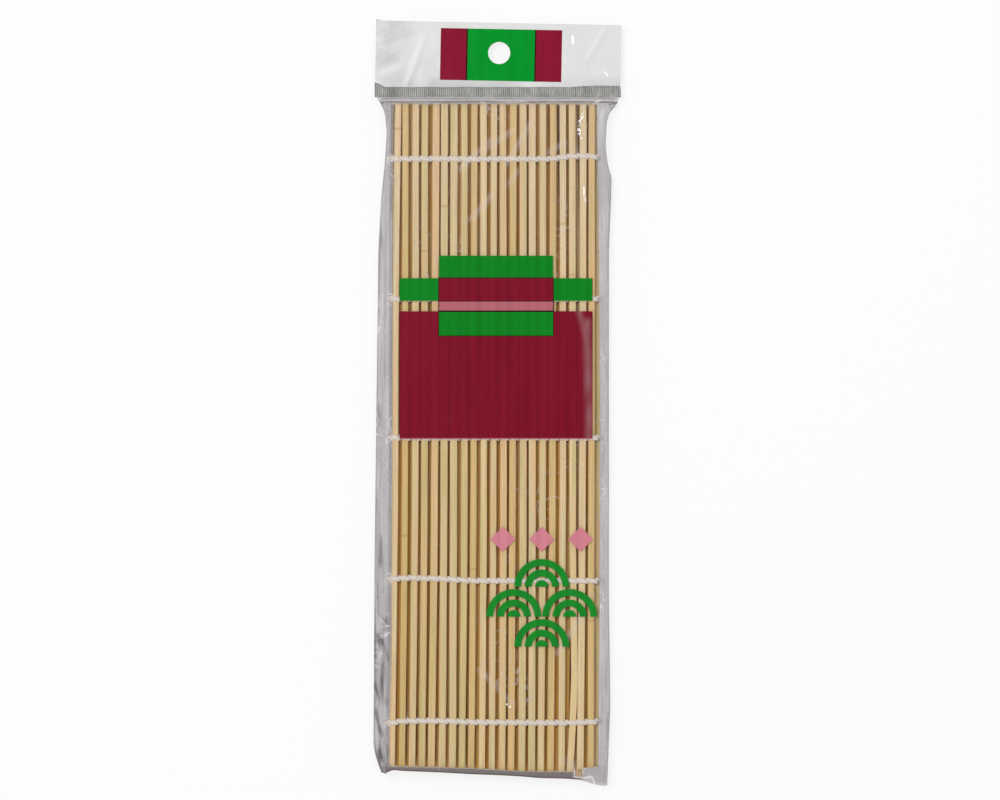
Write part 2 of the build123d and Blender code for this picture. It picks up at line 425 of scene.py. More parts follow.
def middle_of(node):
    """The middle of a node's box."""
    low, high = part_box(node)
    return [(a + b) / 2 for a, b in zip(low, high)]


for number, body in enumerate(front_bodies, start=1):
    node = f"front_slat_{number:02d}"
    x, _, level = middle_of(node)
    piece = copy_of(slat_pattern, f"bamboo_{node}")
    shape_slat(piece, x, level, "front", planed_shade, under_shade, slat_kinks.get(number, ()))
    settle(piece, body, node, "bamboo_slats")


def choose(pieces):
    """Select some pieces and no others, with the first of them active."""
    bpy.ops.object.select_all(action="DESELECT")
    for piece in pieces:
        piece.select_set(True)
    bpy.context.view_layer.objects.active = pieces[0]


def join(pieces, name):
    """Make one piece of several."""
    choose(pieces)
    if len(pieces) > 1:
        bpy.ops.object.join()
    pieces[0].name = name
    return pieces[0]


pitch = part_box("front_slat_02")[0][0] - slat_low[0]
edge_slat = len(front_bodies) - 1
long_slat = 18
long_slat_extra = 2.4 * MM
long_slat_kink = [(-1.0, 0.16, 1.2)]
layer_places = {}
for layer in ("middle", "back"):
    node = f"{layer}_slats"
    first_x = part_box(node)[0][0] + slat_size.x / 2
    layer_places[layer] = [first_x + number * pitch for number in range(len(front_bodies))]
    slats = []
    for number, x in enumerate(layer_places[layer]):
        piece = copy_of(slat_pattern, f"{layer}_slat_{number}")
        # The middle layer lies skin side up, so its painted shade shows in the gaps; its edge slat
        # and long slat show the planed face.
        pale_above = layer == "back" or number in (edge_slat, long_slat)
        upper = planed_shade if pale_above else skin_side_painted_shade
        lower = skin_side_painted_shade if layer == "back" else planed_shade
        reaches_out = layer == "middle" and number == long_slat
        end = {"kinks": long_slat_kink, "longer": long_slat_extra} if reaches_out else {}
        shape_slat(piece, x, middle_of(node)[2], layer, upper, lower, **end)
        slats.append(piece)
    settle(join(slats, f"bamboo_{node}"), f"{layer}_layer", node, "bamboo_slats")
bpy.data.objects.remove(slat_pattern)

# Twine: white cotton of two plies. Each row has two strands, which go over and under the slats
# in turn and change places in every gap, so each slat shows one slanting stitch a row. A stitch
# ends in the middle of the gap, on the line that the next slat turns about.
twine_low, twine_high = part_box("front_twine_02")
front_level = (slat_low[2] + slat_high[2]) / 2
half_pitch = pitch / 2
row_count = 5
row_half = 1.05 * MM
first_row = twine_high[1] - row_half
last_row = twine_low[1] + row_half
row_step = (first_row - last_row) / (row_count - 1)
rows = [first_row - row * row_step for row in range(row_count)]
row_lifts = [
    [(-37, 0.45), (10, 0.35), (20, 0.5), (27, 1.4), (33, 1.4), (38, 0.95)],
    [(-37, 0.65), (38, 0.65)],
    [(-37, 1.3), (38, 1.2)],
    [(-38, 0.95), (-30, 1.3), (-20, 1.0), (-8, 0.25), (38, 0.3)],
    [(-39, -0.5), (-34, 0.3), (-25, 0.45), (0, -0.1), (25, -0.3), (38, 0.2)],
]
stitch_slant = 0.22 * MM
stitch_top = 0.82 * MM
ply_offset = 0.41 * MM
ply_radius = 0.61 * MM
ply_flatness = 0.42
ply_turns = 1.0
ply_points = 13
top_rise = 1.06
cotton_white = paint(221, 211, 206)
cotton_shade = paint(198, 190, 170)


def tube(points, radius, closed=False):
    """A round mesh tube of six sides through points."""
    curve = bpy.data.curves.new("tube", "CURVE")
    curve.dimensions = "3D"
    curve.bevel_depth = radius
    curve.bevel_resolution = 1
    curve.use_fill_caps = True
    spline = curve.splines.new("POLY")
    spline.points.add(len(points) - 1)
    for slot, point in zip(spline.points, points):
        slot.co = (*point, 1)
    spline.use_cyclic_u = closed
    piece = bpy.data.objects.new("tube", curve)
    bpy.context.collection.objects.link(piece)
    choose([piece])
    bpy.ops.object.convert(target="MESH")
    bpy.ops.object.shade_smooth()
    return bpy.context.object


def ply(side, phase):
    """One ply of a stitch, over (side 1) or under (side -1) a slat, before it is flattened."""
    points = []
    for step in range(ply_points):
        share = step / (ply_points - 1)
        x = (2 * share - 1) * half_pitch
        turn = phase + side * ply_turns * 2 * math.pi * share
        drop = side * stitch_slant * (1 - 2 * share)
        height = side * stitch_top * (1 - abs(2 * share - 1) ** 8)
        y = drop + ply_offset * math.cos(turn)
        z = height / ply_flatness + ply_offset * math.sin(turn)
        points.append((x, y, z))
    return tube(points, ply_radius)


stitch_pattern = join([ply(side, phase) for side in (1, -1) for phase in (0, math.pi)], "stitch")
for vert in stitch_pattern.data.vertices:
    vert.co.z *= ply_flatness

cotton, tree, shader = new_finish("cotton", Roughness=0.9, Specular_IOR_Level=0.1)
shader.inputs["Sheen Weight"].default_value = 0.25
yarn = mottle(tree, 2600, 3)
shade = ramp(tree, yarn, 0.62, 0.36, 0, 0.55)
feed(tree, mix_colour(tree, "MIX", shade, cotton_white, cotton_shade), shader, "Base Color")
feed(tree, raised(tree, yarn, 0.06 * MM, 0.6), shader, "Normal")
stitch_pattern.data.materials.append(cotton)


def row_wave(row, x):
    """How far a row wanders from its straight line at a place across the mat."""
    wander = 0.15 * noise.noise(Vector((x / (14 * MM), row * 3.7, 0)))
    return float(wander + np.interp(x / MM, *zip(*row_lifts[row]))) * MM


def sew(name, places, level, layer, rise=1, extra=()):
    """The stitches of a run of slats in every row, as one piece, with their tops raised a bit."""
    stitches = list(extra)
    for x in places:
        for row in range(row_count):
            stitch = copy_of(stitch_pattern, "stitch_copy")
            for vert in stitch.data.vertices:
                here = x + vert.co.x + fan(x, rows[row], layer)
                up = vert.co.z * (rise if vert.co.z > 0 else 1)
                vert.co = (here, rows[row] + vert.co.y + row_wave(row, here), level + up)
            stitches.append(stitch)
    return join(stitches, name)


# Knots: where a row begins, its two strands are tied in a small overhand knot beside the slat.
knot_size = 0.42 * MM
knot_turns = 28
knot_inset = 0.75 * MM


def knot(x, y, level):
    """A small tied knot at a place."""
    points = []
    for step in range(knot_turns):
        t = 2 * math.pi * step / knot_turns
        across = 0.8 * (math.sin(t) + 2 * math.sin(2 * t))
        along = math.cos(t) - 2 * math.cos(2 * t)
        up = -1.1 * math.sin(3 * t)
        points.append((x + knot_size * across, y + knot_size * along, level + knot_size * up))
    piece = tube(points, ply_radius, closed=True)
    piece.data.materials.append(cotton)
    return piece


def row_knots(x, level, layer):
    """The knots of all rows at one edge of a layer."""
    return [knot(x + fan(x, y, layer), y + row_wave(row, x), level) for row, y in enumerate(rows)]


knot_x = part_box("front_twine_01")[0][0] + knot_inset
for number, body in enumerate(front_bodies, start=1):
    node = f"front_twine_{number:02d}"
    x = middle_of(f"front_slat_{number:02d}")[0]
    knots = row_knots(knot_x, front_level, "front") if number == 1 else []
    piece = sew(f"cotton_{node}", [x], front_level, "front", top_rise, knots)
    settle(piece, body, node, "cotton_twine")
for layer, places in layer_places.items():
    node = f"{layer}_twine"
    level = middle_of(f"{layer}_slats")[2]
    back_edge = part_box("back_twine")[1][0] - knot_inset
    knots = row_knots(back_edge, level, "back") if layer == "back" else []
    piece = sew(f"cotton_{node}", places, level, layer, 1, knots)
    settle(piece, f"{layer}_layer", node, "cotton_twine")
bpy.data.objects.remove(stitch_pattern)

# Film bag: one flat tube of clear packing film, tight over the stack and creased along its
# sides. Its outline is given by a few places down each side, and its front carries the print.
film_wall = 0.07 * MM
fold_level = 4.3 * MM
film_top = 8.5 * MM
film_rest = 0.05 * MM
left_outline = [
    (122.6, -43.0), (120.0, -41.6), (117.0, -40.2), (110.0, -39.5), (99.5, -40.1), (87.0, -41.4),
    (67.0, -42.5), (13.0, -43.2), (-45.0, -43.9), (-112.0, -44.3), (-116.0, -43.4), (-121.8, -41.3),
]
right_outline = [
    (122.6, 44.2), (119.6, 43.8), (117.4, 41.2), (113.5, 40.0), (105.0, 39.6), (98.0, 40.4),
    (93.5, 41.8), (86.0, 41.6), (67.0, 40.8), (-59.0, 40.8), (-97.0, 41.3), (-126.0, 40.2),
]
mouth_outline = [
    (-41.4, -121.7), (-37.4, -119.9), (-34.6, -120.3), (-20.0, -120.9), (-9.4, -121.5), (1.4, -121.9),
    (8.6, -122.3), (15.8, -122.9), (24.8, -123.1), (30.2, -123.5), (35.6, -125.1), (40.2, -126.0),
]
film_pale = paint(246, 240, 242)
film_grey = paint(189, 184, 187)
film_dark = paint(89, 79, 76)
film_mirror = 0.003
glint_mirror = 0.3
margin_haze = 0.31
face_haze = 0.003
crown_haze = 0.012
crinkle_highlight_haze = 0.13
crinkle_size = 9 * MM
top_haze = 0.4
edge_gloss = 0.35
knot_reach = 2 * MM
glint_streaks = [
    ((31.3, 116.2), (29.9, 112.6), 0.7),
    ((29.9, 112.6), (29.8, 109.6), 0.8),
    ((29.8, 109.6), (31.0, 106.8), 0.6),
    ((31.4, 90.1), (32.2, 84.6), 0.6),
    ((3.6, -96.4), (5.2, -97.6), 0.7),
    ((9.4, -100.2), (10.6, -101.2), 0.7),
]
# Creases whose pale, cloudier lines are painted highlights of the crumpled film.
painted_crease_highlights = [
    ((-13.0, 96.0), (-2.0, 106.5), 1.6),
    ((4.0, 98.0), (12.0, 112.0), 1.4),
    ((-8.7, 78.3), (-1.9, 86.5), 1.8),
    ((-4.7, 102.9), (6.1, 110.1), 1.6),
    ((19.1, 102.4), (24.5, 105.6), 1.5),
    ((4.9, 91.1), (7.6, 95.5), 1.3),
    ((-24.0, 30.0), (-33.0, 44.0), 1.6),
    ((-6.0, -84.0), (6.0, -96.0), 1.5),
    ((22.0, -78.0), (30.0, -66.0), 1.6),
]


def follow(outline, place):
    """The value of an outline given by (place, value) pairs in millimetres, in metres."""
    pairs = sorted(outline)
    places = [pair[0] * MM for pair in pairs]
    values = [pair[1] * MM for pair in pairs]
    near = [place - 1.2 * MM, place - 0.6 * MM, place, place + 0.6 * MM, place + 1.2 * MM]
    return float(np.mean(np.interp(near, places, values)))


stack_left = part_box("front_slat_01")[0][0]
stack_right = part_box("middle_slats")[1][0]


def between(low, high, share):
    """A value between two others, by a share."""
    return low + (high - low) * share


def shelf_left(y):
    """Where the film leaves the flat front for its left fold line."""
    return between(follow(left_outline, y), stack_left - 0.3 * MM, 0.55)


def shelf_right(y):
    """Where the film leaves the flat front for its right fold line."""
    return between(follow(right_outline, y), stack_right + 0.4 * MM, 0.5)


def crumple(x, y, size_x, size_y, layer):
    """Smooth noise from -1 to 1, with its two sizes in millimetres."""
    return noise.noise(Vector((x / (size_x * MM), y / (size_y * MM), layer)))


def ease(value, start, end):
    """0 before start, 1 after end, smooth between."""
    t = min(1, max(0, (value - start) / (end - start)))
    return t * t * (3 - 2 * t)


def hump(off, width):
    """1 on a line, falling smoothly to 0 with the distance off it."""
    return math.exp(-((off / width) ** 2))


def film_height(x, y):
    """The height of the front film over a place on the stack."""
    rise = 0.16 * crumple(x, y, 22, 30, 1) + 0.05 * crumple(x, y, 3.5, 9, 2)
    gathered = ease(y, 108 * MM, 119 * MM)
    rise += gathered * 0.22 * crumple(x, y, 16, 1.6, 3)
    return film_top + max(-0.08, rise) * MM


def past_ends(x, y):
    """0 over the slats, 1 past their upper or lower ends."""
    beyond_feet = ease(foot_line(x) - y, -0.4 * MM, 0)
    return max(ease(y, slat_half - 0.1 * MM, slat_half + 0.3 * MM), beyond_feet)


knot_rows = [y + row_wave(row, knot_x) for row, y in enumerate(rows)]


def margin(x, y):
    """0 over the slats and the rows' knots, 1 beside them."""
    left = stack_left + fan(stack_left, y)
    right = stack_right + fan(stack_right, y, "middle")
    beside = max(ease(left - x, -0.4 * MM, 0.2 * MM), ease(x, right - 0.55 * MM, right + 0.05 * MM))
    row_gap = min(abs(y - row) for row in knot_rows)
    knot = ease(x, left - knot_reach - 0.4 * MM, left - knot_reach) * ease(-x, 0, -stack_left)
    return beside * (1 - 0.9 * knot * (1 - ease(row_gap, 1.2 * MM, 1.7 * MM)))


def nearness(x, y, marks):
    """How near a place is to the nearest of some streaks: 1 on it, 0 a streak's width away."""
    best = 0
    for (x0, y0), (x1, y1), width in marks:
        run = Vector((x1 - x0, y1 - y0))
        here = Vector((x / MM - x0, y / MM - y0))
        share = min(1, max(0, here.dot(run) / run.dot(run)))
        gap = (here - run * share).length / width
        best = max(best, 1 - gap)
    return best


def over_long_slat(x, y):
    """1 over the end of the hidden slat that reaches below the others."""
    beside = abs(x - 29.7 * MM)
    along = ease(y, -123 * MM, -122.5 * MM) * (1 - ease(y, -119 * MM, -118.5 * MM))
    return (1 - ease(beside, 1.5 * MM, 2 * MM)) * along


def haze_at(x, y):
    """How cloudy the film is at a place, cloudier along the painted crease highlights."""
    streak = crumple(x, y, 1.1, 26, 7) + 0.6 * crumple(x, y, 0.6, 9, 8)
    streak += 0.6 * crumple(x, y, 5, 18, 10)
    cloud = max(0, crumple(x, y, 9, 14, 9))
    over_slats = face_haze * (1 + 2 * cloud) + 0.085 * nearness(x, y, painted_crease_highlights)
    over_slats += crown_haze * (1 + cloud) * ease(y, 30 * MM, 90 * MM)
    over_slats += 0.09 * ease(y, slat_half - 1.6 * MM, slat_half)
    haze = over_slats + margin(x, y) * (margin_haze * (1 + 0.5 * streak) - over_slats)
    haze += past_ends(x, y) * (top_haze * (1 + 0.2 * streak) - haze)
    return haze * (1 - 0.8 * over_long_slat(x, y))


def dark_at(x, y):
    """How dark (to 1) or pale (to -1) the film is at a place: fold lines, the mouth's lip, creases,
    painted shadow over the slats' heads, under their feet and beside the first slat, and painted
    highlights along some creases.
    """
    left = stack_left + fan(stack_left, y)
    outer = max(x - follow(right_outline, y) + 0.8 * MM, follow(left_outline, y) - x + 0.8 * MM)
    fold = 0.3 * ease(outer, 0, 0.8 * MM)
    corner = 1 - 0.8 * ease(x, 28 * MM, 33 * MM)
    lip = corner * ease(follow(mouth_outline, x) + 0.75 * MM - y, 0, 0.3 * MM)
    # Painted shadow just below the slats' feet, joined to the lip.
    lip = max(lip, 0.8 * corner * ease(foot_line(x) - y, -0.4 * MM, 0))
    # Painted shadow in a thin broken line just over the slats' heads.
    head_shadow_y = slat_half + 0.35 * MM + 0.3 * MM * crumple(x, 0, 15, 1, 15)
    head_shadow = hump(y - head_shadow_y, 0.2 * MM) * ease(crumple(x, 0, 12, 1, 16), -0.5, 0.1)
    lower = ease(-y, 30 * MM, 70 * MM) * ease(-x, 0, -stack_left)
    crease = 1.1 * max(0, crumple(x, y, 0.9, 16, 14) - 0.28 + 0.3 * lower)
    crease += 2 * lower * max(0, crumple(x + 0.2 * y, y, 1.6, 7, 17) - 0.12)
    shadow = 0.7 * ease(x, left - 1.4 * MM, left - 0.1 * MM) * ease(left - x, -0.3 * MM, 0)
    dark = min(1, max(fold, lip, head_shadow, margin(x, y) * crease, shadow * margin(x, y)))
    dark *= 1 - over_long_slat(x, y)
    # Painted highlights along the creases make the film paler there.
    pale = ease(nearness(x, y, painted_crease_highlights), 0, 0.2)
    return dark - (1 - margin(x, y)) * (1 - past_ends(x, y)) * pale


film, tree, shader = new_finish("clear_film", Roughness=0.45, Specular_IOR_Level=0.15)
dark = point_value(tree, "dark")
# Fine crinkles of the film are painted as pale, cloudier lines: painted highlights.
folds = mottle(tree, 1 / crinkle_size, 1, 0.8)
off_fold = reckon(tree, "ABSOLUTE", reckon(tree, "SUBTRACT", folds, 0.5))
crinkle_mask = ramp(tree, streaks(tree, 17, 24, 2), 0.5, 0.66)
crinkle_highlight = reckon(tree, "MULTIPLY", ramp(tree, off_fold, 0, 0.016, crinkle_highlight_haze, 0), crinkle_mask)
paler = reckon(tree, "MULTIPLY_ADD", crinkle_highlight, -1 / crinkle_highlight_haze, dark)
film_colour = add(tree, "ValToRGB", Fac=ramp(tree, paler, -1, 1))
film_colour.color_ramp.elements[0].color = film_pale
film_colour.color_ramp.elements[1].color = film_dark
film_colour.color_ramp.elements.new(0.5).color = film_grey
feed(tree, film_colour.outputs["Color"], shader, "Base Color")
shaded = reckon(tree, "ADD", point_value(tree, "haze"), ramp(tree, dark, 0, 1, 0, 0.55))
cloudy = reckon(tree, "ADD", shaded, crinkle_highlight)
cloudy.node.use_clamp = True
grit = mottle(tree, 1300, 3)
broken = ramp(tree, grit, 0.44, 0.58, 0.25, 1.25)
glint = reckon(tree, "MULTIPLY", point_value(tree, "glint"), broken)
wrinkled = raised(tree, mottle(tree, 260, 4, 1.2), 0.5 * MM, 0.35)
sharper = raised(tree, grit, 0.35 * MM, ramp(tree, glint, 0, 0.5), wrinkled)
feed(tree, sharper, shader, "Normal")
gloss = add(tree, "BsdfGlossy", Roughness=0.14, Normal=sharper)
facing = add(tree, "LayerWeight", Blend=0.5).outputs["Facing"]
aslant = ramp(tree, facing, 0.45, 0.95, 0, edge_gloss)
mirror = reckon(tree, "MAXIMUM", ramp(tree, glint, 0.25, 0.7, film_mirror, glint_mirror), aslant)
clear = add(tree, "BsdfTransparent").outputs["BSDF"]
veil = laid_over(tree, cloudy, clear, shader.outputs["BSDF"])
sheen = laid_over(tree, mirror, veil, gloss.outputs["BSDF"])
feed(tree, sheen, tree.nodes["Material Output"], "Surface")

back_looks = {"haze": haze_at}
side_looks = {**back_looks, "dark": dark_at}
film_looks = {**side_looks, "glint": partial(nearness, marks=glint_streaks)}


def make_final(piece, modifier):
    """Turn what a modifier shows into the piece's own mesh."""
    bpy.context.view_layer.objects.active = piece
    bpy.ops.object.modifier_apply(modifier=modifier.name)


def give_wall(piece, wall, material):
    """Give a surface its thickness, inwards, and its material."""
    thicken = piece.modifiers.new("wall", "SOLIDIFY")
    thicken.thickness = wall
    thicken.offset = -1
    make_final(piece, thicken)
    piece.data.materials.append(material)


def sheet_of(name, columns, rows_along, place, wall, material, looks):
    """A thin closed sheet. place gives the point of each (across, along) share of the sheet."""
    bpy.ops.object.select_all(action="DESELECT")
    bpy.ops.mesh.primitive_grid_add(x_subdivisions=columns, y_subdivisions=rows_along, size=1)
    piece = bpy.context.object
    piece.name = name
    for vert in piece.data.vertices:
        vert.co = place(vert.co.x + 0.5, vert.co.y + 0.5)
    for title, measure in looks.items():
        attribute = piece.data.attributes.new(title, "FLOAT", "POINT")
        values = [measure(vert.co.x, vert.co.y) for vert in piece.data.vertices]
        attribute.data.foreach_set("value", values)
    give_wall(piece, wall, material)
    bpy.ops.object.shade_smooth_by_angle(angle=math.radians(60))
    return piece


neck_line = 120.9 * MM
bag_shares = ([0, 0.06, 0.93, 1], [0, 0.012, 0.985, 1])


def side_point(share, y, outer, shelf, layer):
    """A point on the film's side: share 0 at the front shelf, 0.5 on the fold line, 1 behind."""
    s = 1 - 2 * share
    x = between(outer, shelf, abs(s) ** 0.8)
    z = between(fold_level, film_height(shelf, y) if s > 0 else film_rest, abs(s))
    ripple = 0.28 * MM * crumple(s * MM, y, 0.22, 24, layer) * (1 - abs(s) ** 3)
    ripple += 0.1 * MM * crumple(s * MM, y, 0.12, 7, layer + 1) * (1 - abs(s) ** 3)
    return (x, y, z + ripple)


def y_of(along, x):
    """The place along the bag from its mouth (0) to its neck (1), closer together near both."""
    return between(follow(mouth_outline, x), neck_line, float(np.interp(along, *bag_shares)))


def back_place(across, along):
    """A point of the back film."""
    y = y_of(along, between(-40 * MM, 40 * MM, across))
    x = between(shelf_left(y), shelf_right(y), across)
    return (x, y, film_rest + 0.03 * MM * (1 + crumple(x, y, 6, 20, 12)))


def left_place(across, along):
    """A point of the left side film, from its back to its front."""
    y = y_of(along, -41 * MM)
    return side_point(1 - across, y, follow(left_outline, y), shelf_left(y), 20)


front_share = 0.84


def front_place(across, along):
    """A point of the front film and, past front_share, of the right side film."""
    if across <= front_share:
        here = across / front_share
        y = y_of(along, between(-40 * MM, 39.5 * MM, here))
        x = between(shelf_left(y), shelf_right(y), here)
        return (x, y, film_height(x, y))
    y = y_of(along, 40 * MM)
    share = (across - front_share) / (1 - front_share)
    return side_point(share, y, follow(right_outline, y), shelf_right(y), 30)


bag_back = sheet_of("bag_back", 60, 120, back_place, film_wall, film, back_looks)
bag_left = sheet_of("bag_left", 30, 300, left_place, film_wall, film, side_looks)
bag_front = sheet_of("bag_front", 150, 300, front_place, film_wall, film, film_looks)
for piece, node in ((bag_back, "back_film"), (bag_left, "left_film"), (bag_front, "front_film")):
    settle(piece, "bag", node, "clear_film")
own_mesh(bag_left)

# Neck: just past the slats' ends the front and back film come together, gathered in small folds
# that run across the bag, and close on the heat seal.
seal_low, seal_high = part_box("crimp_seal")
header_tilt = math.radians(-1.1)
neck_haze = 0.48
neck_inset = 0.4 * MM
neck_lap = 0.2 * MM
neck_half = 0.12 * MM


def tilted(x, y):
    """A point of the header, which sits a little askew on its seal."""
    centre_x = (seal_low[0] + seal_high[0]) / 2
    dx, dy = x - centre_x, y - seal_high[1]
    turn = header_tilt * ease(dy, 0, 2.2 * MM)
    return (centre_x + dx - dy * math.sin(turn), seal_high[1] + dy + dx * math.sin(turn))


def neck_place(front, across, along):
    """A point of the neck's front or back film, from the bag (0) to the seal (1)."""
    foot_left, foot_right = shelf_left(neck_line), shelf_right(neck_line)
    if not front:
        foot_left, foot_right = follow(left_outline, neck_line), follow(right_outline, neck_line)
    x_head = between(seal_low[0] + neck_inset, seal_high[0] - neck_inset, across)
    x = between(between(foot_left, foot_right, across), x_head, along)
    y = between(neck_line, seal_low[1] + neck_lap, along)
    base = film_height(x, neck_line) if front else film_rest
    meet = fold_level + (neck_half if front else -neck_half)
    fold = 0.3 * MM * math.sin(along * math.pi) * crumple(x, y, 20, 0.8, 41 if front else 42)
    return (x, y, between(base, meet, ease(along, 0, 1)) + fold)


def neck_cloud(x, y):
    """How cloudy the neck is at a place."""
    return neck_haze * (1 + 0.3 * crumple(x, y, 18, 0.7, 44))


def neck_fold(x, y):
    """How dark the neck is at a place, in the thin folds that run across it."""
    line = y - neck_line - 0.9 * MM - 0.5 * MM * crumple(x, 0, 16, 1, 45)
    broken = ease(crumple(x, 0, 9, 1, 46), -0.15, 0.2)
    return 1.1 * broken * hump(line, 0.17 * MM) - 0.4 * hump(line - 0.4 * MM, 0.2 * MM) - 0.75


neck_looks = {"haze": neck_cloud, "dark": neck_fold}
neck_sides = [
    sheet_of("neck", columns, lines, partial(neck_place, front), film_wall, film, neck_looks)
    for front, columns, lines in ((True, 120, 16), (False, 60, 6))
]
settle(join(neck_sides, "bag_neck"), "bag", "neck_film", "clear_film")

# Heat seal: the two films welded by hot ribbed jaws, which leave a grey band of fine ribs right
# across the bag. The ribs are not quite even, and here and there the weld is paler.
rib_pitch = 0.7 * MM
rib_depth = 0.1 * MM
seal_middle = (seal_low[2] + seal_high[2]) / 2
seal_wall = 0.3 * MM
seal_dark = paint(42, 42, 40)
seal_pale = paint(172, 172, 168)


def seam_rise(x):
    """How far the line between seal and header stands above a straight one, most at the left."""
    corner = 1.7 * (1 - ease(x - seal_low[0], 0, 4.2 * MM))
    return (corner + 0.45 * ease(x, 26 * MM, 34 * MM) + 0.22 * crumple(x, 0, 7, 1, 53)) * MM


def seal_place(across, along):
    """A point of the seal's ribbed face."""
    x = between(seal_low[0], seal_high[0], across)
    y = between(seal_low[1], seal_high[1], along)
    deep = 0.7 + 0.5 * crumple(x, y, 4, 3, 54)
    wave = deep * math.sin(2 * math.pi * (x / rib_pitch + 0.5 * crumple(x, y, 2.5, 4, 50)))
    sag = 0.25 * MM * crumple(x, y, 24, 60, 51)
    return (x, y + seam_rise(x) * along, seal_middle + seal_wall / 2 + rib_depth * wave + sag)


weld, tree, shader = new_finish("heat_seal", Roughness=0.3)
# The ribs' light and shade is partly painted into the colour: dark and pale bands at the rib pitch,
# mixed with uneven grey patches of the weld.
ribs = add(tree, "TexWave", Scale=0.314 / rib_pitch, Distortion=2.6, Detail=2, Detail_Scale=0.35)
feed(tree, add(tree, "TexCoord").outputs["Object"], ribs, "Vector")
patches = streaks(tree, 2.6, 5, 2)
scratches = streaks(tree, 0.5, 3, 2)
broken = mix_colour(tree, "MIX", 0.5, patches, scratches)
uneven = mix_colour(tree, "MIX", 0.6, ribs.outputs["Fac"], broken)
painted_rib_shade_and_patches = mix_colour(tree, "MIX", ramp(tree, uneven, 0.26, 0.7), seal_dark, seal_pale)
pressed = ramp(tree, point_value(tree, "pressed"), 0, 1, 0.52, 1.08)
feed(tree, mix_colour(tree, "MULTIPLY", 1, painted_rib_shade_and_patches, pressed), shader, "Base Color")


def seal_pressed(x, y):
    """How evenly the jaws pressed the weld at a place: 0 is dark and 1 is pale."""
    left = ease(x, seal_low[0], seal_low[0] + 22 * MM)
    edges = ease(y, seal_low[1], seal_low[1] + 0.5 * MM)
    edges *= ease(-y, -seal_high[1], -seal_high[1] + 0.7 * MM)
    return (0.35 + 0.3 * left + 0.55 * crumple(x, 0, 5, 1, 52)) * (0.5 + 0.5 * edges)


seal = sheet_of("crimp_band", 640, 6, seal_place, seal_wall, weld, {"pressed": seal_pressed})
settle(seal, "bag", "crimp_seal", "heat_seal")

# Header: a strip of opaque white film over the seal, softly buckled, with a punched round hole
# to hang the pack by. It sits about a degree askew.
header_low, header_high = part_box("header")
hole_radius = 4 * MM
hole_depth = 10.9 * MM
hole_x = 0.9 * MM
hole_y = header_high[1] - hole_depth
header_wall = 0.3 * MM
header_white = paint(215, 215, 214)
header_shade_grey = paint(180, 181, 182)
header_gleam = paint(255, 255, 255)
header_gleams = [((27.6, 144.4), (27.8, 142.0), 0.85), ((39.4, 131.6), (40.4, 130.2), 0.6)]
buckles = [
    (-30, 6, 70, 9, 0.30),
    (-36, 18, 20, 7, 0.22),
    (28, 8, -35, 6, 0.28),
    (36, 16, 60, 8, 0.25),
    (8, 20, 5, 9, 0.12),
]


def header_height(x, y):
    """The height of the header's face over a place on the untilted header."""
    rise = 0.3 * crumple(x, y, 26, 20, 60) + 0.1 * crumple(x, y, 7, 9, 61)
    for centre_x, from_low, angle, length, height in buckles:
        dx = x - centre_x * MM
        dy = y - header_low[1] - from_low * MM
        turn = math.radians(angle)
        along = dx * math.cos(turn) + dy * math.sin(turn)
        aside = -dx * math.sin(turn) + dy * math.cos(turn)
        rise += height * math.exp(-((along / (length * MM)) ** 2) - (aside / (1.1 * MM)) ** 2)
    return seal_middle + header_wall / 2 + rise * MM


def header_place(across, along):
    """A point of the header's face."""
    x = between(header_low[0], header_high[0], across)
    y = between(header_low[1], header_high[1], along)
    from_foot = y - header_low[1]
    lift = seam_rise(x) * (1 - ease(from_foot, 0, 2.5 * MM)) * 0.9
    at_corner = (1 - ease(x - header_low[0], 0, 2.4 * MM)) * ease(from_foot, 19 * MM, 23 * MM)
    lift += 0.55 * MM * at_corner
    return (*tilted(x, y + lift), header_height(x, y))


def punch(piece, radius):
    """Cut the round hanging hole through a piece."""
    bpy.ops.object.select_all(action="DESELECT")
    place = (*tilted(hole_x, hole_y), seal_middle)
    bpy.ops.mesh.primitive_cylinder_add(vertices=72, radius=radius, depth=8 * MM, location=place)
    punch_tool = bpy.context.object
    cut = piece.modifiers.new("hole", "BOOLEAN")
    cut.operation = "DIFFERENCE"
    cut.object = punch_tool
    make_final(piece, cut)
    bpy.data.objects.remove(punch_tool)


plastic, tree, shader = new_finish("header_white", Roughness=0.28, Specular_IOR_Level=0.2)
# The header is greyed towards its foot and left end as painted shade, with grey border lines at its
# left edge.
milky = ramp(tree, mottle(tree, 75, 3), 0.34, 0.6, 0.15, 1)
shaded_grey = reckon(tree, "MULTIPLY", point_value(tree, "shade_and_border"), milky)
whitened = mix_colour(tree, "MIX", shaded_grey, header_white, header_shade_grey)
gleam = ramp(tree, point_value(tree, "gleam"), 0.3, 0.7)
feed(tree, mix_colour(tree, "MIX", gleam, whitened, header_gleam), shader, "Base Color")
feed(tree, raised(tree, mottle(tree, 210, 3, 1.5), 0.4 * MM, 0.3), shader, "Normal")


def shade_and_border_at(x, y):
    """How grey the header may be at a place: painted shade of its buckles and folds at its foot and
    its left end, and the grey lines of its folded border along its left edge.
    """
    from_left, from_foot = x - header_low[0], y - header_low[1]
    foot = 1 - ease(from_foot, 0.5 * MM, 5 * MM)
    left = 1 - ease(from_left, 1 * MM, 16 * MM)
    line = hump(from_left - 1.3 * MM, 0.4 * MM) + hump(from_left, 0.4 * MM)
    band = hump(from_foot - 4.5 * MM - 0.35 * from_left, 1.6 * MM) * left
    grey = 0.12 + 0.6 * foot + 0.55 * left + 0.3 * (1 - ease(x, header_low[0], 0))
    return max(0, min(1, grey + line - band))


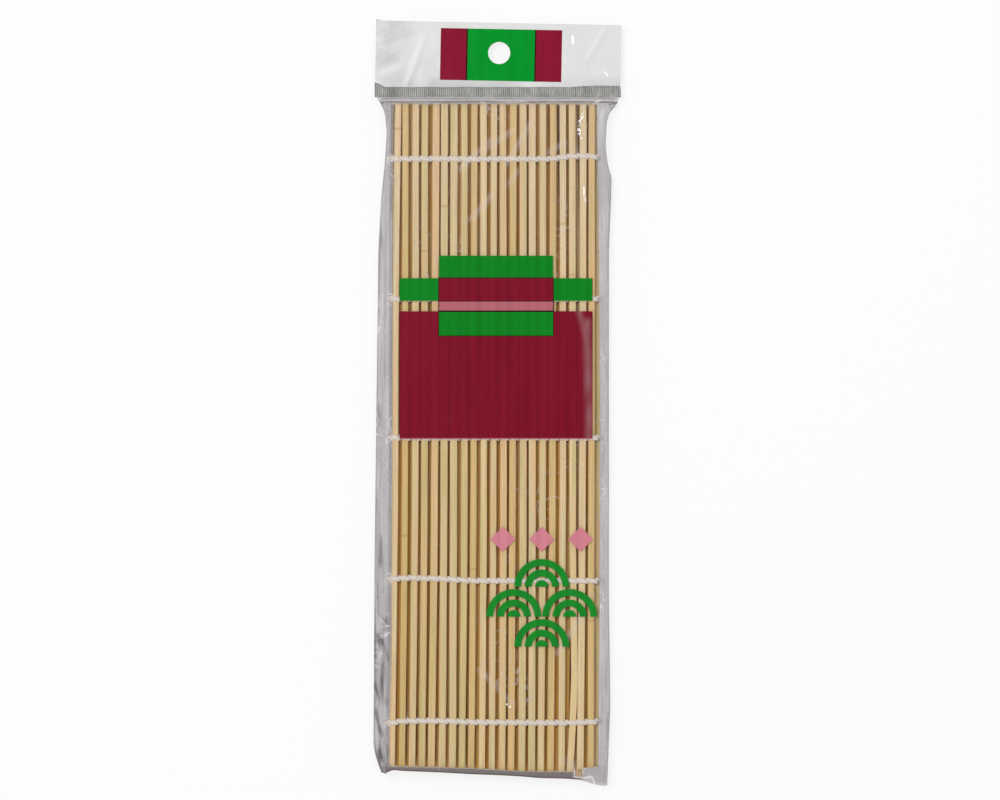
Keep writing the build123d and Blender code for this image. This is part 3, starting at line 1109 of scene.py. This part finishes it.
header_looks = {"shade_and_border": shade_and_border_at, "gleam": partial(nearness, marks=header_gleams)}
header = sheet_of("header_strip", 170, 48, header_place, header_wall, plastic, header_looks)
punch(header, hole_radius)
settle(header, "bag", "header", "white_header")

# Header print: a green block between two maroon ones, with a dark line where the inks overlap.
ink_wall = 0.05 * MM
ink_cell = 0.75 * MM
ink_gleam = paint(255, 236, 236)
gleam_share = 0.13
ink_hole_radius = hole_radius + 0.02 * MM
gleam_band = [((32.8, 41.0), (33.6, 0.0), 2.2), ((30.0, 45.0), (33.6, 30.0), 1.6)]


def ink(name, colour, shade, gap_painted_shade=1):
    """Flat gloss ink, a little uneven, with the film's creases. Its last argument sets the painted
    shade that darkens it in stripes over the gaps between the slats behind.
    """
    material, tree, shader = new_finish(name, Roughness=0.3, Specular_IOR_Level=0.02)
    uneven = ramp(tree, streaks(tree, 4, 60, 3), 0.3, 0.7, shade, 1.06)
    worn = mix_colour(tree, "MULTIPLY", 1, colour, uneven)
    stripes = add(tree, "TexWave", Scale=math.pi / 10 / pitch, Phase_Offset=-math.pi / 2)
    feed(tree, add(tree, "TexCoord").outputs["Object"], stripes, "Vector")
    shade_over_gaps = ramp(tree, stripes.outputs["Fac"], 0.05, 0.35, gap_painted_shade, 1)
    striped = mix_colour(tree, "MULTIPLY", 1, worn, shade_over_gaps)
    shine = ramp(tree, point_value(tree, "gleam"), 0, 1, 0, gleam_share)
    feed(tree, mix_colour(tree, "MIX", shine, striped, ink_gleam), shader, "Base Color")
    feed(tree, raised(tree, streaks(tree, 3.5, 8, 4), 0.3 * MM, 0.3), shader, "Normal")
    return material


header_green_ink = ink("header_green_ink", paint(0, 140, 40), 0.9)
header_maroon_ink = ink("header_maroon_ink", paint(132, 20, 46), 0.9)
green_ink = ink("green_ink", paint(14, 124, 32), 0.9, 0.92)
maroon_ink = ink("maroon_ink", paint(121, 19, 39), 0.88, 0.9)
pink_ink = ink("pink_ink", paint(172, 98, 108), 0.93, 0.94)
overlap_ink = ink("ink_overlap", paint(40, 16, 18), 0.9)


def gleam_at(x, y):
    """Where the printed film shines: in a soft band down the right of the panel."""
    return nearness(x, y, gleam_band) * (0.75 + 0.6 * crumple(x, y, 3, 9, 70))


def print_block(name, box, height, lift, material, placing=None):
    """A block of ink laid on a surface whose height is given. box is (left, right, low, high)."""
    left, right, low_y, high_y = box
    columns = max(2, round((right - left) / ink_cell))
    lines = max(2, round((high_y - low_y) / ink_cell))

    def place(across, along):
        x, y = between(left, right, across), between(low_y, high_y, along)
        where = placing(x, y) if placing else (x, y)
        return (*where, height(x, y) + lift + ink_wall)

    return sheet_of(name, columns, lines, place, ink_wall, material, {"gleam": gleam_at})


def box_of(node):
    """A CAD node's (left, right, low y, high y)."""
    low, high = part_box(node)
    return (low[0], high[0], low[1], high[1])


green_box = box_of("header_print_green")
maroon_box = box_of("header_print_maroon")
header_line = 0.5 * MM
line_lift = 0.01 * MM
block_lift = 0.03 * MM


def header_block(name, box, material, lift=block_lift):
    """A block of ink on the header."""
    return print_block(name, box, header_height, lift, material, placing=tilted)


overlap = header_block("header_overlap", maroon_box, overlap_ink, line_lift)
middle = header_block("header_green", green_box, header_green_ink)
for piece in (overlap, middle):
    punch(piece, ink_hole_radius)
sides = [
    (maroon_box[0], green_box[0] - header_line, maroon_box[2], maroon_box[3]),
    (green_box[1] + header_line, maroon_box[1], maroon_box[2], maroon_box[3]),
]
ends = join([header_block("end", box, header_maroon_ink) for box in sides], "header_maroon")
settle(overlap, "bag", None, "maroon_ink")
settle(middle, "bag", "header_print_green", "green_ink")
settle(ends, "bag", "header_print_maroon", "maroon_ink")

# Front print: flat blocks of green, maroon and pink ink on the front film. Where two inks meet
# they overlap in a thin dark line, which is a darker layer that shows between the blocks.
panel = box_of("front_print_maroon")
greens = box_of("front_print_green")
bar = box_of("front_print_pink")
notch_half = 20.5 * MM
line_gap = 0.28 * MM
hem_height = 0.3 * MM
panel_top = bar[2] - line_gap
bar_top = bar[3] + line_gap
shoulder_top = panel[3]
notch_low = panel_top - 9 * MM
crown_top = greens[3]
wide_half = notch_half + line_gap
panel_boxes = [
    (panel[0], -wide_half, notch_low, panel_top),
    (wide_half, panel[1], notch_low, panel_top),
    (panel[0], panel[1], panel[2], notch_low),
    (-notch_half, notch_half, bar_top, shoulder_top),
]
green_boxes = [
    (-notch_half, notch_half, notch_low + line_gap, panel_top - line_gap),
    (-notch_half, notch_half, shoulder_top + line_gap, crown_top),
    (greens[0], -wide_half, bar_top, shoulder_top),
    (wide_half, greens[1], bar_top, shoulder_top),
]
line_box = (-wide_half, wide_half, notch_low, shoulder_top + line_gap)
hem_box = (panel[0], panel[1], panel[2] - hem_height, panel[2])
front_print = [
    ("front_maroon", panel_boxes, maroon_ink, block_lift, "front_print_maroon", "maroon_ink"),
    ("front_green", green_boxes, green_ink, block_lift, "front_print_green", "green_ink"),
    ("front_pink", [bar, hem_box], pink_ink, block_lift, "front_print_pink", "pink_ink"),
    ("front_overlap", [line_box], overlap_ink, line_lift, None, "maroon_ink"),
]
printed = []
for name, boxes, material, lift, node, slot in front_print:
    blocks = [print_block("block", box, film_height, film_wall + lift, material) for box in boxes]
    printed.append(join(blocks, name))
    settle(printed[-1], "bag", node, slot)

# Ornament: a plain wave pattern of ringed scallops in green, with pink lozenges round it, printed
# on the front film.
motif_low, motif_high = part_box("front_motif")
motif_x = (motif_low[0] + motif_high[0]) / 2
scallop_radius = (motif_high[0] - motif_low[0]) / 4
scallop_row = 10.8 * MM
scallops_in_rows = (1, 2, 1)
ring_shares = [(1.0, 0.74), (0.62, 0.36), (0.24, 0.0)]
lozenge_half = 4.5 * MM
lozenge_step = 14 * MM
wave_ink = ink("motif_green", paint(28, 132, 42), 0.85, 0.9)
lozenge_ink = ink("motif_pink", paint(204, 126, 138), 0.9, 0.92)


def drape(piece, material):
    """Lay a flat outline on the front film as a thin layer of ink."""
    for vert in piece.data.vertices:
        x, y = vert.co.x, vert.co.y
        vert.co.z = film_height(x, y) + film_wall + block_lift + ink_wall
    give_wall(piece, ink_wall, material)
    return piece


def half_ring(x, y, outer, inner):
    """A half ring that stands on its diameter, as a flat outline."""
    bpy.ops.object.select_all(action="DESELECT")
    bpy.ops.mesh.primitive_circle_add(vertices=64, radius=outer, location=(x, y, 0))
    piece = bpy.context.object
    bpy.ops.object.transform_apply(location=True)
    bpy.ops.object.mode_set(mode="EDIT")
    if inner > 0:
        bpy.ops.mesh.primitive_circle_add(vertices=64, radius=inner, location=(x, y, 0))
        bpy.ops.mesh.select_all(action="SELECT")
        bpy.ops.mesh.bridge_edge_loops()
    else:
        bpy.ops.mesh.edge_face_add()
    bpy.ops.mesh.select_all(action="SELECT")
    bpy.ops.mesh.bisect(plane_co=(x, y, 0), plane_no=(0, 1, 0), clear_inner=True)
    bpy.ops.mesh.select_all(action="SELECT")
    bpy.ops.mesh.normals_make_consistent(inside=False)
    bpy.ops.object.mode_set(mode="OBJECT")
    return piece


def lozenge(x, y, half):
    """A lozenge as a flat outline."""
    bpy.ops.object.select_all(action="DESELECT")
    bpy.ops.mesh.primitive_circle_add(vertices=4, radius=half, fill_type="NGON", location=(x, y, 0))
    piece = bpy.context.object
    bpy.ops.object.transform_apply(location=True)
    return piece


scallop_places = [
    (motif_x + (2 * place - many + 1) * scallop_radius, motif_low[1] + (2 - row) * scallop_row)
    for row, many in enumerate(scallops_in_rows)
    for place in range(many)
]
scallops = [
    drape(half_ring(x, y, outer * scallop_radius * 0.985, inner * scallop_radius), wave_ink)
    for x, y in scallop_places
    for outer, inner in ring_shares
]
lozenge_y = motif_high[1] - lozenge_half
lozenges = [
    drape(lozenge(motif_x + step * lozenge_step, lozenge_y, lozenge_half), lozenge_ink)
    for step in (-1, 0, 1)
]
waves, diamonds = join(scallops, "motif_waves"), join(lozenges, "motif_lozenges")
settle(waves, "bag", "front_motif", "motif_ink")
settle(diamonds, "bag", None, "motif_ink")

# The front film and its print each get a mesh of their own.
for piece in (bag_front, *printed, waves, diamonds):
    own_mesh(piece)

# Fold twine: at the two folds of the mat the outer strand of each row goes round the slat that
# stands out, from one layer to the next.
strand_radius = 0.42 * MM
strand_bulge = 1.7 * MM
strand_inset = 1.1 * MM
strand_above_row = 0.4 * MM
strand_points = 9


def fold_strand(x, y, low_level, high_level, side):
    """A strand that goes round the edge slat from one layer to the next, bulging to one side."""
    points = []
    middle, half = (low_level + high_level) / 2, (high_level - low_level) / 2
    for step in range(strand_points):
        angle = math.pi * (step / (strand_points - 1) - 0.5)
        out = side * strand_bulge * math.cos(angle)
        points.append((x + out, y, middle + half * math.sin(angle)))
    piece = tube(points, strand_radius)
    piece.data.materials.append(cotton)
    return piece


middle_level, back_level = middle_of("middle_slats")[2], middle_of("back_slats")[2]
right_x = stack_right - strand_inset
left_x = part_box("back_slats")[0][0] + strand_inset
folds = [
    ("fold_twine_right", 1, right_x, middle_level, front_level, "middle_layer", front_bodies[-1]),
    ("fold_twine_left", -1, left_x, back_level, middle_level, "back_layer", "middle_layer"),
]
for name, side, x, low_level, high_level, fixed, moving in folds:
    strands = []
    for row, y in enumerate(rows):
        here_x, here_y = x + fan(x, y, "middle"), y + row_wave(row, x) + strand_above_row
        strands.append(fold_strand(here_x, here_y, low_level, high_level, side))
    piece = join(strands, name)
    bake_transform(piece)
